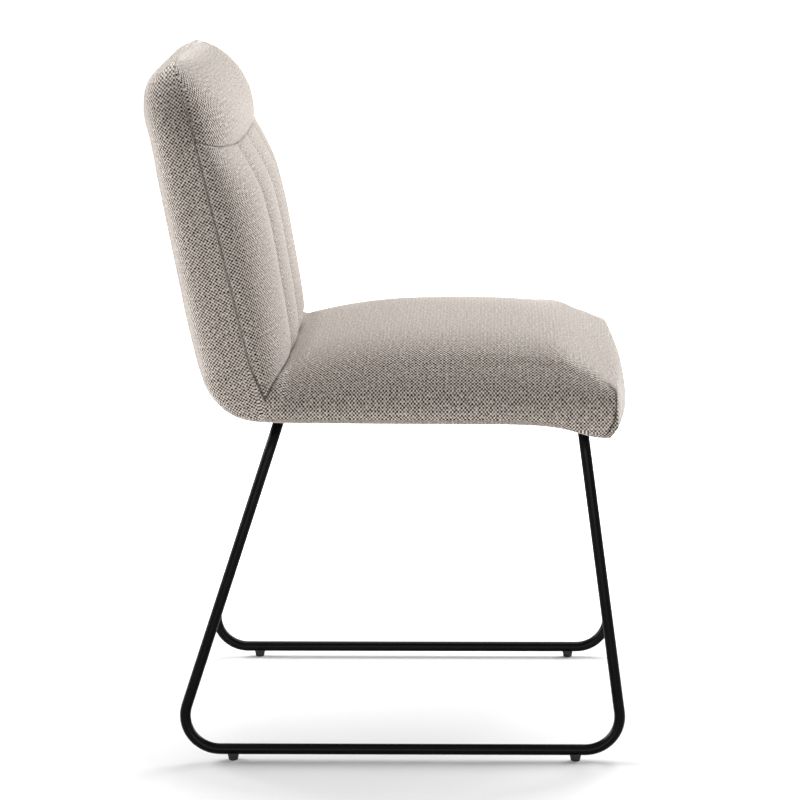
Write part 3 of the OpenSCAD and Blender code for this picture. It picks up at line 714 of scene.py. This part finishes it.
def under_pressure(pads):
    """Foam fills each cover from inside, as cloth with pressure.

    Only the part of a move that points outward is kept, up to CAP.
    """
    rest = {}
    for obj in pads:
        co = np.zeros(len(obj.data.vertices) * 3)
        obj.data.vertices.foreach_get("co", co)
        rest[obj.name] = co.reshape(-1, 3)
        cloth = obj.modifiers.new("cloth", "CLOTH")
        s = cloth.settings
        s.quality = 5
        s.mass = 0.3
        s.tension_stiffness = s.compression_stiffness = 25
        s.shear_stiffness = 8
        s.bending_stiffness = 1.5
        s.use_pressure = True
        s.uniform_pressure_force = 4.0
        s.vertex_group_mass = "sewn"
        s.effector_weights.gravity = 0
        cloth.collision_settings.use_collision = False
        cloth.point_cache.frame_start = 1
        cloth.point_cache.frame_end = FRAMES
    scene = bpy.context.scene
    for f in range(1, FRAMES + 1):
        scene.frame_set(f)
    graph = bpy.context.evaluated_depsgraph_get()
    for obj in pads:
        soft = obj.evaluated_get(graph).data
        co = np.zeros(len(soft.vertices) * 3)
        soft.vertices.foreach_get("co", co)
        grid = (co.reshape(-1, 3) - rest[obj.name]).reshape(*obj["grid"], 3)
        for _ in range(SMOOTHING):
            grid[1:-1] = (grid[:-2] + 2 * grid[1:-1] + grid[2:]) / 4
            grid[:] = (np.roll(grid, 1, 1) + 2 * grid + np.roll(grid, -1, 1)) / 4
        move = grid.reshape(-1, 3)
        out = np.zeros(move.size)
        obj.data.vertices.foreach_get("normal", out)
        out = out.reshape(-1, 3)
        move = np.maximum(0, (move * out).sum(1, keepdims=True)) * out
        size = np.linalg.norm(move, axis=1, keepdims=True)
        move *= np.minimum(1, CAP / np.maximum(size, 1e-9))
        free = np.zeros(len(move))
        obj.data.attributes["free"].data.foreach_get("value", free)
        move *= free[:, None]
        obj.modifiers.remove(obj.modifiers["cloth"])
        obj.data.vertices.foreach_set("co", (rest[obj.name] + move).ravel())
        obj.data.update()
    scene.frame_set(1)


pads = [seat, shell, inner, bolster]
under_pressure(pads)

# The dart in side view: from its tip on the nose, round its bend and down to the
# underside.
dart = np.array([(241, 453), (258.5, 441), (259.3, 428), (258, 416), (256, 408),
                 (252.3, 401), (248.5, 395.5)])
dart_groove, dart_half_w = 0.0018, 4  # its depth in metres, and half its width in mm
dart_from, dart_out = 215, 205  # it lies forward of the one, and farther out than the other
FAR = 20.0  # mm from a seam at which nothing shows of it


def beside(points, line):
    """Signed distance of points from a line of points, and how far along it they lie."""
    best = np.full(len(points), 1e9)
    signed, reached = np.zeros(len(points)), np.zeros(len(points))
    before = 0.0
    for a, b in zip(line[:-1], line[1:]):
        length = np.linalg.norm(b - a)
        way = (b - a) / length
        t = np.clip((points - a) @ way, 0, length)
        away = np.linalg.norm(points - a - t[:, None] * way, axis=1)
        side = np.sign((points - a) @ np.array([way[1], -way[0]]) + 1e-9)
        closer = away < best
        best = np.where(closer, away, best)
        signed = np.where(closer, away * side, signed)
        reached = np.where(closer, before + t, reached)
        before += length
    return signed, reached


def surface_of(obj):
    """A cover's faces, for finding the nearest place on it."""
    return BVHTree.FromPolygons([v.co for v in obj.data.vertices],
                                [tuple(f.vertices) for f in obj.data.polygons])


def from_cover(co, surface):
    """Signed distance in mm of points from another cover, up to FAR."""
    out = np.full(len(co), FAR)
    for i, point in enumerate(co):
        spot, normal, _, gap = surface.find_nearest(Vector(point), FAR / 1000)
        if spot is not None:
            inside = (Vector(point) - spot).dot(normal) < 0
            out[i] = gap * (-1000 if inside else 1000)
    return out


places, surfaces = {}, {}
for obj in pads:
    co = np.zeros(len(obj.data.vertices) * 3)
    obj.data.vertices.foreach_get("co", co)
    places[obj] = co.reshape(-1, 3)
    surfaces[obj] = surface_of(obj)

# How dark the painted shade is at each seam between two covers. The crease of seat and back is
# a deep one, so distances from it count for less. The painted shade of the side seams darkens
# towards their foot, and fades out round the head.
crease, crease_distance = 1, 0.6
foot_darker, foot_top = 0.55, 50
head_from, head_to = 290, 350
channel_dark = 0.8
for obj, others in ((seat, [(inner, crease)]),
                    (shell, [(inner, 0.2), (bolster, 0.25)]),
                    (inner, [(seat, crease), (shell, 0.2), (bolster, 0.35)]),
                    (bolster, [(inner, 0.35), (shell, 0.25)])):
    co = places[obj]
    side_view = np.stack([-co[:, 1], co[:, 2]], 1) * 1000
    across = np.abs(co[:, 0]) * 1000
    up = (side_view - foot) @ along
    gap, strength = np.full(len(co), FAR), np.zeros(len(co))
    for other, dark in others:
        found = from_cover(co, surfaces[other])
        if dark == crease:
            found *= crease_distance
        else:
            dark = dark + foot_darker * (1 - smoothstep(up, 10, foot_top))
        nearer = np.abs(found) < np.abs(gap)
        strength = np.where(nearer, dark, strength)
        gap = np.where(nearer, found, gap)
    if obj is inner:
        # Painted shade along the channel seams, where the cover is sewn down into its dips.
        line = np.where(across < channel_w / 2, across, channel_w - across)
        strength = np.where(np.abs(line) < np.abs(gap), channel_dark, strength)
        gap = np.where(line < 0, -1, 1) * np.minimum(np.abs(line), gap)
    elif obj is seat:
        line, reached = beside(side_view, dart)
        at_corner = (side_view[:, 0] > dart_from) & (across > dart_out)
        sewn = at_corner * smoothstep(reached, 0, 20)
        groove = sewn * dart_groove * np.exp(-(line / dart_half_w) ** 2)
        co[:, 0] -= np.sign(co[:, 0]) * groove
        obj.data.vertices.foreach_set("co", co.ravel())
        obj.data.update()
        # Painted shade along the dart, beside the groove pressed in above.
        in_front = side_view[:, 0] > 100
        strength = np.where(in_front, sewn, strength)
        gap = np.where(in_front, line, gap)
    else:
        strength *= 1 - smoothstep(up, head_from, head_to)
    # The painted seam shade: distance from the seam in mm, and how dark its shade is painted.
    layer = obj.data.attributes.new("painted_seam_shade", "FLOAT_VECTOR", "POINT")
    layer.data.foreach_set("vector", np.stack([gap, strength, 0 * gap], 1).ravel())

for obj in pads:
    finer = obj.modifiers.new("finer", "SUBSURF")
    finer.levels = finer.render_levels = 1


# Stage: plain white floor that keeps the shadow, soft studio light, and the
# camera at the photograph's place, 3.8 m off to the sitter's right.

near_side, far_side = 30, 60  # metres; the camera looks to the far side
floor_mesh = bpy.data.meshes.new("floor")
floor_mesh.from_pydata([(-near_side, -near_side, 0), (far_side, -near_side, 0),
                        (far_side, near_side, 0), (-near_side, near_side, 0)],
                       [], [(0, 1, 2, 3)])
floor = bpy.data.objects.new("floor", floor_mesh)
bpy.context.scene.collection.objects.link(floor)

# Matt white paint. Away from the chair it glows for the camera alone, so that it
# ends up plain white there and keeps the shadow near the chair.
paint, tree = new_finish("white_floor")
rays = add(tree, "LightPath")
spot = add(tree, "VectorMath", {0: add(tree, "TexCoord").outputs["Object"]},
           operation="LENGTH")
pale = add(tree, "MapRange", {"Value": spot.outputs["Value"]},
           {"From Min": 0.35, "From Max": 0.8, "To Min": 0.1, "To Max": 1.0})
glow = add(tree, "Math", {0: rays.outputs["Is Camera Ray"], 1: pale},
           operation="MULTIPLY")
shader = add(tree, "BsdfPrincipled", {"Emission Strength": glow},
             {"Base Color": srgb("#e7e7e7"), "Roughness": 1.0,
              "Specular IOR Level": 0.0, "Emission Color": srgb("#ffffff")})
add(tree, "OutputMaterial", {"Surface": shader})
floor.data.materials.append(paint)

# A soft white room light. The camera, and what metal mirrors, see it as white.
world = bpy.data.worlds.new("studio")
bpy.context.scene.world = world
world.use_nodes = True
tree = world.node_tree
tree.nodes.clear()
rays = add(tree, "LightPath")
seen = add(tree, "Math", {0: rays.outputs["Is Camera Ray"], 1: rays.outputs["Is Glossy Ray"]},
           operation="MAXIMUM")
clear = add(tree, "Math", {0: seen, 1: rays.outputs["Is Transmission Ray"]},
            operation="MAXIMUM")
soft = add(tree, "Background", None, {"Color": srgb("#ffffff"), "Strength": 0.16})
white = add(tree, "Background", None, {"Color": srgb("#ffffff"), "Strength": 1.0})
mix = add(tree, "MixShader", {0: clear, 1: soft, 2: white})
add(tree, "OutputWorld", {"Surface": mix})


def softbox(name, at, aim, size, power):
    """A soft lamp at a place, turned to another. Its size is in metres, its power in watts."""
    data = bpy.data.lights.new(name, "AREA")
    data.shape = "RECTANGLE"
    data.size, data.size_y = size
    data.energy = power
    obj = bpy.data.objects.new(name, data)
    bpy.context.scene.collection.objects.link(obj)
    obj.location = at
    obj.rotation_euler = (Vector(aim) - Vector(at)).to_track_quat("-Z", "Y").to_euler()


softbox("front", (2.3, -2.1, 1.2), (0, 0, 0.45), (1.6, 1.6), 108)
softbox("top", (1.1, -0.4, 2.4), (0, 0, 0.45), (1.8, 1.8), 61)
softbox("rear", (0.8, 2.5, 1.3), (0, 0, 0.5), (1.6, 1.6), 100)
softbox("side", (-1.6, 0.0, 0.17), (0, 0, 0.3), (1.6, 0.3), 9.5)

camera_at = Vector((-3.6068, -0.12585, 1.1663))
camera_aim = Vector((0, -0.00814, 0.38359))
camera_roll = math.radians(-0.437)
camera_data = bpy.data.cameras.new("camera")
camera_data.lens = 138.2
camera_data.sensor_width = 36
camera = bpy.data.objects.new("camera", camera_data)
look = (camera_aim - camera_at).to_track_quat("-Z", "Y").to_matrix().to_4x4()
camera.matrix_world = (Matrix.Translation(camera_at) @ look
                       @ Matrix.Rotation(camera_roll, 4, "Z"))
scene = bpy.context.scene
scene.collection.objects.link(camera)
scene.camera = camera
scene.view_settings.view_transform = "Standard"
